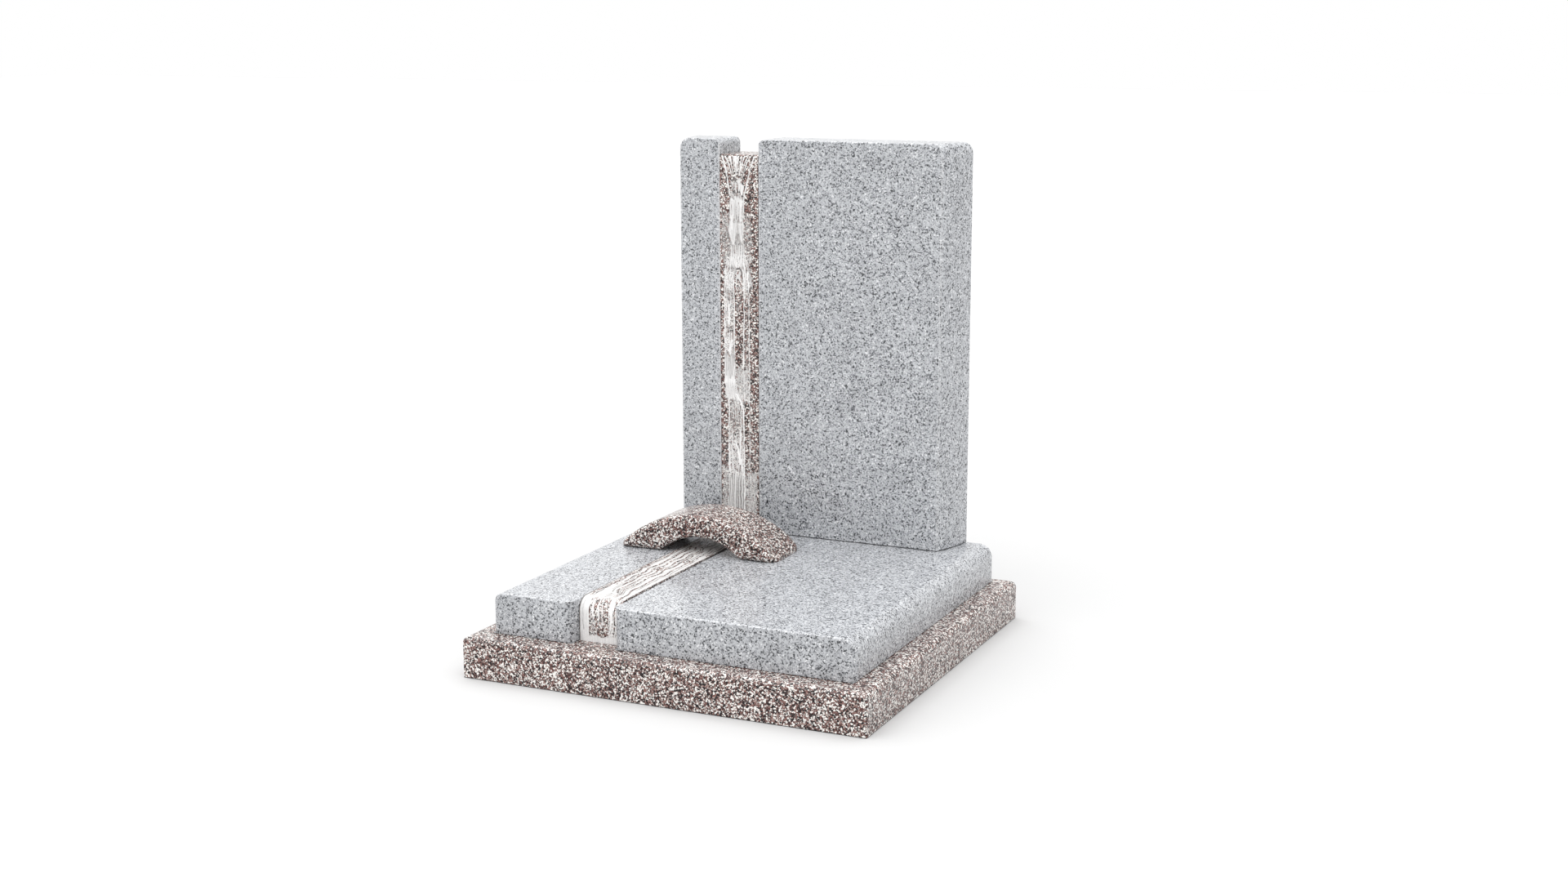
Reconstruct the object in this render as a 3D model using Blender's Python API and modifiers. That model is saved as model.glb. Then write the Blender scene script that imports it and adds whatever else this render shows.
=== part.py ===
"""Grave monument: a stele of two grey granite slabs with a carved waterfall strip between
them, standing on a two-part ledger with a carved river strip and a small arched bridge,
all on a low square base slab.

Sizes are in metres. The front faces -Y, +Z is up, and the origin is the middle of the
base slab's underside.
"""

from math import cos, pi, radians, sin, sqrt

import bmesh
import bpy
from mathutils import Vector

# Base slab. Its top edge is crisper at the front than round the sides and back.
BASE_WIDTH = 1.000
BASE_DEPTH = 0.990
BASE_HEIGHT = 0.097
BASE_EDGE_RADIUS = 0.016
BASE_FRONT_RADIUS = 0.008
BASE_CORNER_RADIUS = 0.007

# Margins of bare base around the ledger, which sits a little to the left and to the back.
# Its top edges are well rounded along the sides and back and crisp at the front.
LEDGER_LEFT_MARGIN = 0.047
LEDGER_RIGHT_MARGIN = 0.052
LEDGER_FRONT_MARGIN = 0.055
LEDGER_BACK_MARGIN = 0.025
LEDGER_HEIGHT = 0.097
LEDGER_SIDE_RADIUS = 0.034
LEDGER_BACK_RADIUS = 0.025
LEDGER_FRONT_RADIUS = 0.004
LEDGER_CORNER_RADIUS = 0.023

# The pink strip that runs through the ledger as a river and up the stele as a waterfall
STRIP_WIDTH = 0.106
STRIP_CENTRE_X = -0.1885
RIVER_RECESS = 0.033
RIVER_EDGE_RADIUS = 0.032
RIVER_RISE = 0.003
WATERFALL_DROP = 0.038
WATERFALL_EDGE_RADIUS = 0.008

# Stele
STELE_WIDTH = 0.701
STELE_LEFT_MARGIN = 0.148
STELE_HEIGHT = 0.994
STELE_THICKNESS = 0.122
STELE_BACK_MARGIN = 0.049
END_FLARE = 0.034
END_BOW = 0.004
END_TOP_RADIUS = 0.026
INNER_TOP_RADIUS = 0.015

# Bridge over the river, whose middle lies a little to the right of the strip's
BRIDGE_LENGTH = 0.422
BRIDGE_WIDTH = 0.162
BRIDGE_WAIST = 0.150
BRIDGE_OFFSET_X = 0.0095
BRIDGE_CENTRE_Y = 0.130
BRIDGE_HEIGHT = 0.096
BRIDGE_TIP_HEIGHT = 0.006
BRIDGE_PLAN_RADIUS = 0.028
BRIDGE_EDGE_RADIUS = 0.013
BRIDGE_EDGE_SHARE = 0.45
BRIDGE_ARCH_SPAN = 0.213
BRIDGE_ARCH_RISE = 0.041
BRIDGE_ARCH_SHIFT = 0.0065

# Carving of the water, cut into the pink stone, with ridges between the strands of water
CARVING_DEPTH = 0.0035
CARVING_BANK = 0.005
STRAND_HEIGHT = 0.0016

# Fits: upright joints between blocks, and the seat of one block on another
JOINT_GAP = 0.0008
SEAT_GAP = 0.0003
ARRIS = 0.003

# Fineness of curves and of the carved grids
ROUND_SEGMENTS = 6
ARRIS_SEGMENTS = 2
END_BOW_SEGMENTS = 4
BRIDGE_STATIONS = 26
BRIDGE_CORNER_STEPS = 3
CARVING_COLUMNS = 22
CARVING_ROW_LENGTH = 0.013
SMOOTH_ANGLE = radians(32)
NEAR = 1e-6

# Heights and places that follow from the sizes above
LEDGER_BOTTOM = BASE_HEIGHT + SEAT_GAP
LEDGER_TOP = LEDGER_BOTTOM + LEDGER_HEIGHT
LEDGER_LEFT = -BASE_WIDTH / 2 + LEDGER_LEFT_MARGIN
LEDGER_RIGHT = BASE_WIDTH / 2 - LEDGER_RIGHT_MARGIN
LEDGER_FRONT = -BASE_DEPTH / 2 + LEDGER_FRONT_MARGIN
LEDGER_BACK = BASE_DEPTH / 2 - LEDGER_BACK_MARGIN
STRIP_LEFT = STRIP_CENTRE_X - STRIP_WIDTH / 2
STRIP_RIGHT = STRIP_CENTRE_X + STRIP_WIDTH / 2
STELE_LEFT = -BASE_WIDTH / 2 + STELE_LEFT_MARGIN
STELE_RIGHT = STELE_LEFT + STELE_WIDTH
STELE_BACK = BASE_DEPTH / 2 - STELE_BACK_MARGIN
STELE_FRONT = STELE_BACK - STELE_THICKNESS
STELE_BOTTOM = LEDGER_TOP + SEAT_GAP
RIVER_TOP = LEDGER_TOP + RIVER_RISE

# Water of the fall, each stream as shares of the strip: across from the middle (-0.5 to 0.5)
# and up from the foot (0 to 1). Top and foot give the centre, half width and height.
FALL_STREAMS = [
    {"top": (0.00, 0.46, 1.00), "foot": (-0.03, 0.19, 0.92), "strands": 7},
    {"top": (-0.03, 0.19, 0.92), "foot": (-0.04, 0.21, 0.76), "strands": 3},
    {"top": (-0.05, 0.25, 0.78), "foot": (-0.03, 0.37, 0.68), "strands": 5},
    {"top": (-0.27, 0.13, 0.70), "foot": (-0.26, 0.14, 0.37), "strands": 2},
    {"top": (0.11, 0.04, 0.70), "foot": (0.12, 0.04, 0.36), "strands": 1},
    {"top": (0.26, 0.04, 0.70), "foot": (0.26, 0.04, 0.30), "strands": 1},
    {"top": (-0.10, 0.14, 0.35), "foot": (-0.09, 0.20, 0.20), "strands": 3},
    {"top": (-0.09, 0.20, 0.20), "foot": (0.00, 0.45, 0.00), "strands": 5},
]

# Channel of the river, as shares of its width and length: a bank left standing on each side
RIVER_BANK_SHARE = 0.035
RIVER_MEANDER_SHARE = 0.03
RIVER_WAVES = 3.0
RIVER_STRANDS = 6


# Stone finishes
GREY_POLISHED = {"colour": (0.46, 0.48, 0.50), "roughness": 0.25}
PINK_POLISHED = {"colour": (0.42, 0.32, 0.30), "roughness": 0.25}
PINK_CARVED = {"colour": (0.72, 0.68, 0.66), "roughness": 0.60}


def clear_scene():
    for item in list(bpy.data.objects):
        bpy.data.objects.remove(item, do_unlink=True)


def granite(name, finish):
    """A stone material of the part's own, in one of the finishes named above."""
    material = bpy.data.materials.new(name + "_granite")
    material.use_nodes = True
    shader = material.node_tree.nodes["Principled BSDF"]
    shader.inputs["Base Color"].default_value = (*finish["colour"], 1.0)
    shader.inputs["Roughness"].default_value = finish["roughness"]
    shader.inputs["Metallic"].default_value = 0.0
    return material


def add_part(name, bm, location, collection, finish):
    """Make an object from the bmesh, shaded smooth with crisp corners kept sharp."""
    bmesh.ops.recalc_face_normals(bm, faces=bm.faces[:])
    mesh = bpy.data.meshes.new(name)
    bm.to_mesh(mesh)
    bm.free()
    mesh.shade_smooth()
    mesh.set_sharp_from_angle(angle=SMOOTH_ANGLE)
    mesh.materials.append(granite(name, finish))
    part = bpy.data.objects.new(name, mesh)
    part.location = location
    collection.objects.link(part)
    return part


def box(width, depth, height):
    """A bmesh box centred in plan, standing on z = 0."""
    bm = bmesh.new()
    bmesh.ops.create_cube(bm, size=1.0)
    bmesh.ops.scale(bm, vec=(width, depth, height), verts=bm.verts)
    bmesh.ops.translate(bm, vec=(0, 0, height / 2), verts=bm.verts)
    return bm


def edge_is_upright(edge):
    return abs(edge.verts[0].co.z - edge.verts[1].co.z) > NEAR


def edge_is_at_front(edge, depth):
    return max(vert.co.y for vert in edge.verts) < NEAR - depth / 2


def edge_is_at_back(edge, depth):
    return min(vert.co.y for vert in edge.verts) > depth / 2 - NEAR


def set_edge_rounding(bm, radius_of, largest):
    """Store each edge's radius as its share of the largest one, for a weighted Bevel."""
    weights = bm.edges.layers.float.new("bevel_weight_edge")
    for edge in bm.edges:
        edge[weights] = radius_of(edge) / largest


def add_weighted_bevel(part, largest):
    bevel = part.modifiers.new("rounded edges", "BEVEL")
    bevel.limit_method = "WEIGHT"
    bevel.offset_type = "OFFSET"
    bevel.width = largest
    bevel.segments = ROUND_SEGMENTS
    bevel.use_clamp_overlap = False


def make_base_slab(collection):
    bm = box(BASE_WIDTH, BASE_DEPTH, BASE_HEIGHT)

    def radius_of(edge):
        if edge_is_upright(edge):
            return BASE_CORNER_RADIUS
        if edge.verts[0].co.z < BASE_HEIGHT / 2:
            return 0.0
        return BASE_FRONT_RADIUS if edge_is_at_front(edge, BASE_DEPTH) else BASE_EDGE_RADIUS

    set_edge_rounding(bm, radius_of, BASE_EDGE_RADIUS)
    part = add_part("base_slab", bm, (0, 0, 0), collection, PINK_POLISHED)
    add_weighted_bevel(part, BASE_EDGE_RADIUS)


def make_ledger(name, left, right, inner_side, collection):
    """One block of the ledger. Its top edge along the river stays crisp, on the side given
    by inner_side, and the one along its outer side is fully rounded."""
    width = right - left
    depth = LEDGER_BACK - LEDGER_FRONT
    bm = box(width, depth, LEDGER_HEIGHT)

    def radius_of(edge):
        if edge_is_upright(edge):
            return LEDGER_CORNER_RADIUS
        if edge.verts[0].co.z < LEDGER_HEIGHT / 2:
            return 0.0
        if edge_is_at_front(edge, depth):
            return LEDGER_FRONT_RADIUS
        if edge_is_at_back(edge, depth):
            return LEDGER_BACK_RADIUS
        beside_river = abs(edge.verts[0].co.x - inner_side * width / 2) < NEAR
        return ARRIS if beside_river else LEDGER_SIDE_RADIUS

    set_edge_rounding(bm, radius_of, LEDGER_SIDE_RADIUS)
    location = ((left + right) / 2, (LEDGER_FRONT + LEDGER_BACK) / 2, LEDGER_BOTTOM)
    part = add_part(name, bm, location, collection, GREY_POLISHED)
    add_weighted_bevel(part, LEDGER_SIDE_RADIUS)


def stele_outline(inner_x, outer_front_x, side):
    """Plan of one slab from its inner front corner round. The outer end flares towards
    the back and bows out, and side is -1 for the left slab and 1 for the right one."""
    points = [Vector((inner_x, STELE_FRONT))]
    for step in range(END_BOW_SEGMENTS + 1):
        along = step / END_BOW_SEGMENTS
        flare = END_FLARE * along
        bow = END_BOW * sin(pi * along)
        points.append(Vector((outer_front_x + side * (flare + bow), STELE_FRONT + STELE_THICKNESS * along)))
    points.append(Vector((inner_x, STELE_BACK)))
    return points


def make_stele_slab(name, inner_x, outer_front_x, side, collection):
    outline = stele_outline(inner_x, outer_front_x, side)
    bm = bmesh.new()
    foot = bm.faces.new([bm.verts.new((point.x, point.y, 0)) for point in outline])
    raised = bmesh.ops.extrude_face_region(bm, geom=[foot], use_keep_orig=True)
    top_verts = [item for item in raised["geom"] if isinstance(item, bmesh.types.BMVert)]
    bmesh.ops.translate(bm, vec=(0, 0, STELE_HEIGHT), verts=top_verts)
    bmesh.ops.recalc_face_normals(bm, faces=bm.faces[:])

    inner_edges = []
    outer_edges = []
    for edge in bm.edges:
        if min(vert.co.z for vert in edge.verts) < STELE_HEIGHT / 2:
            continue
        across = [vert.co.x for vert in edge.verts]
        reaches_inner = any(abs(x - inner_x) < NEAR for x in across)
        if reaches_inner and abs(across[0] - across[1]) < NEAR:
            inner_edges.append(edge)
        elif not reaches_inner:
            outer_edges.append(edge)
    round_edges(bm, inner_edges, INNER_TOP_RADIUS, ROUND_SEGMENTS)
    outer_edges = [edge for edge in outer_edges if edge.is_valid]
    round_edges(bm, outer_edges, END_TOP_RADIUS, ROUND_SEGMENTS)
    arrises = [edge for edge in bm.edges if is_arris(edge)]
    round_edges(bm, arrises, ARRIS, ARRIS_SEGMENTS)
    add_part(name, bm, (0, 0, STELE_BOTTOM), collection, GREY_POLISHED)


def is_arris(edge):
    """A sharp edge above the slab's underside."""
    return max(vert.co.z for vert in edge.verts) > ARRIS and edge.calc_face_angle(0.0) > SMOOTH_ANGLE


def round_edges(bm, edges, radius, segments):
    bmesh.ops.bevel(bm, geom=edges, offset=radius, offset_type="OFFSET", segments=segments,
                    profile=0.5, affect="EDGES", clamp_overlap=False)


def smooth_step(value):
    share = min(max(value, 0.0), 1.0)
    return share * share * (3 - 2 * share)


def water_depth(offset, half, strands):
    """Relief across a band of water, at an offset from its middle: 0 on the stone beside
    it, and cut in between its banks, with a ridge along the middle of each strand."""
    cover = smooth_step((half - abs(offset)) * STRIP_WIDTH / CARVING_BANK)
    ridge = (1 - cos(pi * strands * (1 + offset / half))) / 2
    return cover * (STRAND_HEIGHT * ridge - CARVING_DEPTH)


def stream_relief(stream, across, up):
    """Relief of one stream of the fall at a point given as shares of the strip."""
    top_centre, top_half, top = stream["top"]
    foot_centre, foot_half, foot = stream["foot"]
    fallen = (top - up) / (top - foot)
    if fallen < 0 or fallen > 1:
        return 0.0
    centre = top_centre + (foot_centre - top_centre) * fallen
    half = top_half + (foot_half - top_half) * smooth_step(fallen)
    return water_depth(across - centre, half, stream["strands"])


def fall_relief(across, up):
    return min(stream_relief(stream, across, up) for stream in FALL_STREAMS)


def river_relief(across, along):
    """Relief of the river: a channel that winds a little between its banks."""
    centre = RIVER_MEANDER_SHARE * sin(2 * pi * RIVER_WAVES * along)
    half = 0.5 - RIVER_BANK_SHARE - RIVER_MEANDER_SHARE
    return water_depth(across - centre, half, RIVER_STRANDS)


def strip_path(front, back, height, radius, back_radius=0.0):
    """Points and outward normals up the front, over the rounded edge, along the top and
    over the back edge. A point is (y, z, normal y, normal z), and z starts at 0."""
    path = []
    rise = height - radius
    rows = max(2, round(rise / CARVING_ROW_LENGTH))
    for row in range(rows):
        path.append((front, rise * row / rows, -1.0, 0.0))
    for step in range(ROUND_SEGMENTS):
        angle = pi / 2 * step / ROUND_SEGMENTS
        y = front + radius * (1 - cos(angle))
        path.append((y, rise + radius * sin(angle), -cos(angle), sin(angle)))
    run = back - front - radius - back_radius
    rows = max(2, round(run / CARVING_ROW_LENGTH))
    for row in range(rows + 1):
        path.append((front + radius + run * row / rows, height, 0.0, 1.0))
    if back_radius > 0:
        for step in range(1, ROUND_SEGMENTS + 1):
            angle = pi / 2 * step / ROUND_SEGMENTS
            y = back - back_radius * (1 - sin(angle))
            path.append((y, height - back_radius * (1 - cos(angle)), sin(angle), cos(angle)))
    return path


def path_shares(path):
    """Distance along the path at each point, as a share of the whole."""
    lengths = [0.0]
    for here, there in zip(path, path[1:]):
        lengths.append(lengths[-1] + sqrt((there[0] - here[0]) ** 2 + (there[1] - here[1]) ** 2))
    return [length / lengths[-1] for length in lengths]


def make_strip(name, bottom, path, relief, collection):
    """A strip of stone whose carved face follows a path in the YZ plane. The relief is
    read at shares across and along, and is laid off along the path's normal."""
    width = STRIP_WIDTH - 2 * JOINT_GAP
    shares = path_shares(path)
    bm = bmesh.new()
    rows = []
    for (y, z, normal_y, normal_z), along in zip(path, shares):
        row = []
        for column in range(CARVING_COLUMNS + 1):
            across = column / CARVING_COLUMNS - 0.5
            depth = relief(across, along, z)
            row.append(bm.verts.new((across * width, y + normal_y * depth, z + normal_z * depth)))
        rows.append(row)
    for lower, upper in zip(rows, rows[1:]):
        for column in range(CARVING_COLUMNS):
            bm.faces.new((lower[column], lower[column + 1], upper[column + 1], upper[column]))
    back = path[-1][0]
    heel = [bm.verts.new((-width / 2, back, 0)), bm.verts.new((width / 2, back, 0))]
    bm.faces.new([row[0] for row in rows] + [heel[0]])
    bm.faces.new([row[-1] for row in rows] + [heel[1]])
    bm.faces.new(rows[-1] + [heel[1], heel[0]])
    bm.faces.new(rows[0] + [heel[1], heel[0]])
    add_part(name, bm, (STRIP_CENTRE_X, 0, bottom), collection, PINK_CARVED)


def make_river_strip(collection):
    front = LEDGER_FRONT + RIVER_RECESS
    height = RIVER_TOP - LEDGER_BOTTOM
    path = strip_path(front, LEDGER_BACK, height, RIVER_EDGE_RADIUS, LEDGER_BACK_RADIUS)
    under_stele = (STELE_FRONT - front) / (LEDGER_BACK - front)

    def relief(across, along, z):
        on_foot = smooth_step((z - RIVER_EDGE_RADIUS / 2) / CARVING_ROW_LENGTH)
        before_stele = smooth_step((under_stele - along) * STRIP_WIDTH / CARVING_BANK)
        return river_relief(across, along) * on_foot * before_stele

    make_strip("river_strip", LEDGER_BOTTOM, path, relief, collection)


def make_waterfall_strip(collection):
    bottom = RIVER_TOP + SEAT_GAP
    height = STELE_BOTTOM + STELE_HEIGHT - WATERFALL_DROP - bottom
    path = strip_path(STELE_FRONT, STELE_BACK, height, WATERFALL_EDGE_RADIUS)

    def relief(across, along, z):
        on_front = 1.0 - smooth_step((z - (height - WATERFALL_EDGE_RADIUS)) / WATERFALL_EDGE_RADIUS)
        return fall_relief(across, z / height) * on_front

    make_strip("waterfall_strip", bottom, path, relief, collection)


def arc_height(offset, half_chord, rise):
    """Height of a circular arc above its chord, at an offset from the middle."""
    radius = (half_chord ** 2 + rise ** 2) / (2 * rise)
    return sqrt(max(radius ** 2 - offset ** 2, 0.0)) - (radius - rise)


def bridge_half_width(offset):
    """Half the width in plan: narrow over the river, with rounded corners at the tips."""
    half_length = BRIDGE_LENGTH / 2
    spread = smooth_step(abs(offset) / (half_length - BRIDGE_PLAN_RADIUS))
    half = (BRIDGE_WAIST + (BRIDGE_WIDTH - BRIDGE_WAIST) * spread) / 2
    past = abs(offset) - (half_length - BRIDGE_PLAN_RADIUS)
    if past > 0:
        half -= BRIDGE_PLAN_RADIUS - sqrt(max(BRIDGE_PLAN_RADIUS ** 2 - past ** 2, 0.0))
    return half


def bridge_section(bm, offset):
    """One cross-section of the bridge, a rectangle with rounded corners."""
    top = BRIDGE_TIP_HEIGHT + arc_height(offset, BRIDGE_LENGTH / 2, BRIDGE_HEIGHT - BRIDGE_TIP_HEIGHT)
    under = max(arc_height(offset - BRIDGE_ARCH_SHIFT, BRIDGE_ARCH_SPAN / 2, BRIDGE_ARCH_RISE), 0.0)
    half = bridge_half_width(offset)
    radius = min(BRIDGE_EDGE_RADIUS, (top - under) * BRIDGE_EDGE_SHARE)
    corners = [(half - radius, under + radius, -90), (half - radius, top - radius, 0),
               (radius - half, top - radius, 90), (radius - half, under + radius, 180)]
    ring = []
    for y, z, start in corners:
        for step in range(BRIDGE_CORNER_STEPS + 1):
            angle = radians(start + 90 * step / BRIDGE_CORNER_STEPS)
            ring.append(bm.verts.new((offset, y + radius * cos(angle), z + radius * sin(angle))))
    return ring


def bridge_offsets():
    """Places of the sections along the bridge, closer together towards the tips."""
    half_length = BRIDGE_LENGTH / 2
    for station in range(BRIDGE_STATIONS + 1):
        yield -half_length * cos(pi * station / BRIDGE_STATIONS)


def make_bridge(collection):
    """An arched slab, lofted through its cross-sections from tip to tip."""
    bm = bmesh.new()
    rings = [bridge_section(bm, offset) for offset in bridge_offsets()]
    for here, there in zip(rings, rings[1:]):
        for index in range(len(here)):
            after = (index + 1) % len(here)
            bm.faces.new((here[index], here[after], there[after], there[index]))
    bm.faces.new(rings[0])
    bm.faces.new(rings[-1])
    location = (STRIP_CENTRE_X + BRIDGE_OFFSET_X, BRIDGE_CENTRE_Y, LEDGER_TOP + SEAT_GAP)
    add_part("bridge", bm, location, collection, PINK_POLISHED)


def main():
    clear_scene()
    collection = bpy.data.collections.new("grave_monument")
    bpy.context.scene.collection.children.link(collection)

    make_base_slab(collection)
    make_ledger("ledger_left", LEDGER_LEFT, STRIP_LEFT, 1, collection)
    make_ledger("ledger_right", STRIP_RIGHT, LEDGER_RIGHT, -1, collection)
    make_river_strip(collection)
    make_waterfall_strip(collection)
    make_stele_slab("stele_left", STRIP_LEFT, STELE_LEFT, -1, collection)
    make_stele_slab("stele_right", STRIP_RIGHT, STELE_RIGHT, 1, collection)
    make_bridge(collection)


main()
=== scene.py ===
"""Looks of the grave monument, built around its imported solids.

Every block of stone is rebuilt as a finer mesh of the same size: polished grey and
pink-brown granite, and two strips whose water is carved and frosted white. Sizes are in
metres in the frame of the solids, with the front facing -Y and +Z up.
"""
from math import cos, pi, radians, sin, sqrt

import bmesh
import bpy
import numpy as np
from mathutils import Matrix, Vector


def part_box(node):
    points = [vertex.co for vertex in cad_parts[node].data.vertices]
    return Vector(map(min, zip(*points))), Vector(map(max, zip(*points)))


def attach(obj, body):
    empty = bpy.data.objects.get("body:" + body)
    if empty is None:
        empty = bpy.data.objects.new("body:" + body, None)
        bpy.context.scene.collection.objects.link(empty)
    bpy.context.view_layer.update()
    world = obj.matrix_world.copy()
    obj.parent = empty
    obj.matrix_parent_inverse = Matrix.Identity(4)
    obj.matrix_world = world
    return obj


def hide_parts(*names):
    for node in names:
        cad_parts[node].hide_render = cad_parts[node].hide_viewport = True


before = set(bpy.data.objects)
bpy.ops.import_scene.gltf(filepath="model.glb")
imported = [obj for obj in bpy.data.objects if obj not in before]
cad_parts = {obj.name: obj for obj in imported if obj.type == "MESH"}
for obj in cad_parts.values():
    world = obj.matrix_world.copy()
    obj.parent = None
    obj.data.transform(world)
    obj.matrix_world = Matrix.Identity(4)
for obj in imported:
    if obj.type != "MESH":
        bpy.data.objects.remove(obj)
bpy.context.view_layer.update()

NEAR = 1e-6
SMOOTH_ANGLE = radians(32)

# Edges of the blocks, as in the solids
BASE_EDGE_RADIUS = 0.016
BASE_FRONT_RADIUS = 0.008
BASE_CORNER_RADIUS = 0.007
LEDGER_SIDE_RADIUS = 0.034
LEDGER_BACK_RADIUS = 0.025
LEDGER_FRONT_RADIUS = 0.004
LEDGER_CORNER_RADIUS = 0.023
ARRIS = 0.003
FOOT_ARRIS = 0.0022
END_FLARE = 0.034
END_BOW = 0.004
END_TOP_RADIUS = 0.026
INNER_TOP_RADIUS = 0.015
ROUND_SEGMENTS = 12
ARRIS_SEGMENTS = 4
BOW_SEGMENTS = 12

# Faces narrower than this round a crisp edge, and get a painted highlight. It is weaker along
# level edges than on upright ones, as the tops already catch strong light
ARRIS_FACE_WIDTH = 0.0013
UPRIGHT_NORMAL = 0.05
LEVEL_HIGHLIGHT_SHARE = 0.15

# Bridge, as in the solids
BRIDGE_WAIST = 0.150
BRIDGE_TIP_HEIGHT = 0.006
BRIDGE_PLAN_RADIUS = 0.028
BRIDGE_EDGE_RADIUS = 0.013
BRIDGE_EDGE_SHARE = 0.45
BRIDGE_ARCH_SPAN = 0.213
BRIDGE_ARCH_RISE = 0.041
BRIDGE_ARCH_SHIFT = 0.0065
BRIDGE_STATIONS = 120
BRIDGE_CORNER_STEPS = 8

# Carved strips
RIVER_EDGE_RADIUS = 0.032
WATERFALL_EDGE_RADIUS = 0.008
RIVER_BACK_RADIUS = 0.025
STRIP_COLUMNS = 128
STRIP_ROW_LENGTH = 0.0015
STRIP_EDGE_STEPS = 6
CARVING_DEPTH = 0.0035
MM = 0.001

# Floor and light
FLOOR_HALF = 40.0
FLOOR_SQUARES = 8
FLOOR_TONE = 0.54
FLOOR_ROUGHNESS = 0.9
WORLD_STRENGTH = 1.0
OVERHEAD_STRENGTH = 3.1
OVERHEAD_ANGLE = radians(100)
OVERHEAD_PLACE = (-0.12, -0.08, 1.0)

# Camera, fitted to the photo's perspective
CAMERA_PLACE = (2.0533, -4.3006, 1.4745)
CAMERA_TARGET = (0.0808, 0.0050, 0.5094)
CAMERA_ROLL = radians(-0.0278)
CAMERA_LENS = 47.33
CAMERA_SENSOR = 36.0


def smooth_step(value):
    """0 up to 0, 1 from 1 on, and a soft rise between."""
    share = np.clip(value, 0.0, 1.0)
    return share * share * (3 - 2 * share)


def add_piece(name, node, mesh, material):
    """Put a mesh in the scene as the piece that stands for the CAD node."""
    mesh.materials.append(material)
    piece = bpy.data.objects.new(name, mesh)
    bpy.context.scene.collection.objects.link(piece)
    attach(piece, "root")
    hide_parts(node)
    return piece


def mesh_of(name, bm):
    """A mesh from the bmesh, smooth but for its sharp edges."""
    bmesh.ops.recalc_face_normals(bm, faces=bm.faces[:])
    mesh = bpy.data.meshes.new(name)
    bm.to_mesh(mesh)
    bm.free()
    mesh.shade_smooth()
    mesh.set_sharp_from_angle(angle=SMOOTH_ANGLE)
    return mesh


def settle_normals(piece):
    """Keep the broad faces flat in the shading, with the turn of light in the edges."""
    weighted = piece.modifiers.new("flat faces", "WEIGHTED_NORMAL")
    weighted.keep_sharp = True


def apply_modifiers(piece):
    """Give the piece its finished mesh in place of the plain one."""
    graph = bpy.context.evaluated_depsgraph_get()
    mesh = bpy.data.meshes.new_from_object(piece.evaluated_get(graph))
    plain = piece.data
    piece.modifiers.clear()
    piece.data = mesh
    bpy.data.meshes.remove(plain)


def mark_highlight_and_shade_faces(piece, upright_highlight):
    """Mark the narrow faces that round the crisp edges: for a painted highlight where they show,
    and round the foot for painted shade, a fine dark line in the groove there."""
    mesh = piece.data
    foot = min(vert.co.z for vert in mesh.vertices) + FOOT_ARRIS
    arris_highlight = mesh.attributes.new("arris_highlight", "FLOAT", "FACE")
    groove = mesh.attributes.new("groove", "FLOAT", "FACE")
    for face in mesh.polygons:
        corners = [mesh.vertices[index].co for index in face.vertices]
        sides = [(here - there).length for here, there in zip(corners, corners[1:] + corners[:1])]
        if min(sides) > ARRIS_FACE_WIDTH:
            continue
        # Round the foot: painted shade, a fine dark line in the groove
        if face.center.z < foot:
            groove.data[face.index].value = 1.0
        else:
            # Painted highlight, weaker on level edges
            upright = abs(face.normal.z) < UPRIGHT_NORMAL
            arris_highlight.data[face.index].value = upright_highlight if upright else LEVEL_HIGHLIGHT_SHARE


# Blocks with rounded edges


def rounded_block(name, node, radius_of, largest, material):
    """A box of the node's size, its edges rounded by the radius that radius_of gives."""
    low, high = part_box(node)
    bm = bmesh.new()
    bmesh.ops.create_cube(bm, size=1.0)
    bmesh.ops.scale(bm, vec=high - low, verts=bm.verts)
    bmesh.ops.translate(bm, vec=(low + high) / 2, verts=bm.verts)
    weights = bm.edges.layers.float.new("bevel_weight_edge")
    for edge in bm.edges:
        edge[weights] = radius_of(edge, low, high) / largest
    piece = add_piece(name, node, mesh_of(name, bm), material)
    bevel = piece.modifiers.new("rounded edges", "BEVEL")
    bevel.limit_method = "WEIGHT"
    bevel.offset_type = "OFFSET"
    bevel.width = largest
    bevel.segments = ROUND_SEGMENTS
    bevel.use_clamp_overlap = False
    settle_normals(piece)
    apply_modifiers(piece)
    mark_highlight_and_shade_faces(piece, 0.0)


def is_upright(edge):
    return abs(edge.verts[0].co.z - edge.verts[1].co.z) > NEAR


def is_at_front(edge, low):
    return all(vert.co.y < low.y + NEAR for vert in edge.verts)


def is_at_back(edge, high):
    return all(vert.co.y > high.y - NEAR for vert in edge.verts)


def make_base_slab(material):
    def radius_of(edge, low, high):
        if is_upright(edge):
            return BASE_CORNER_RADIUS
        if edge.verts[0].co.z < high.z - NEAR:
            return FOOT_ARRIS
        return BASE_FRONT_RADIUS if is_at_front(edge, low) else BASE_EDGE_RADIUS

    rounded_block("base_slab_stone", "base_slab", radius_of, BASE_EDGE_RADIUS, material)


def make_ledger(name, node, inner_side, material):
    """A ledger block. Its edge along the river stays crisp, on the side inner_side."""
    def radius_of(edge, low, high):
        if is_upright(edge):
            return LEDGER_CORNER_RADIUS
        if edge.verts[0].co.z < high.z - NEAR:
            return FOOT_ARRIS
        if is_at_front(edge, low):
            return LEDGER_FRONT_RADIUS
        if is_at_back(edge, high):
            return LEDGER_BACK_RADIUS
        inner_x = high.x if inner_side > 0 else low.x
        beside_river = all(abs(vert.co.x - inner_x) < NEAR for vert in edge.verts)
        return ARRIS if beside_river else LEDGER_SIDE_RADIUS

    rounded_block(name, node, radius_of, LEDGER_SIDE_RADIUS, material)


def round_edges(bm, edges, radius, segments):
    bmesh.ops.bevel(bm, geom=edges, offset=radius, offset_type="OFFSET", segments=segments,
                    profile=0.5, affect="EDGES", clamp_overlap=False)


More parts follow.
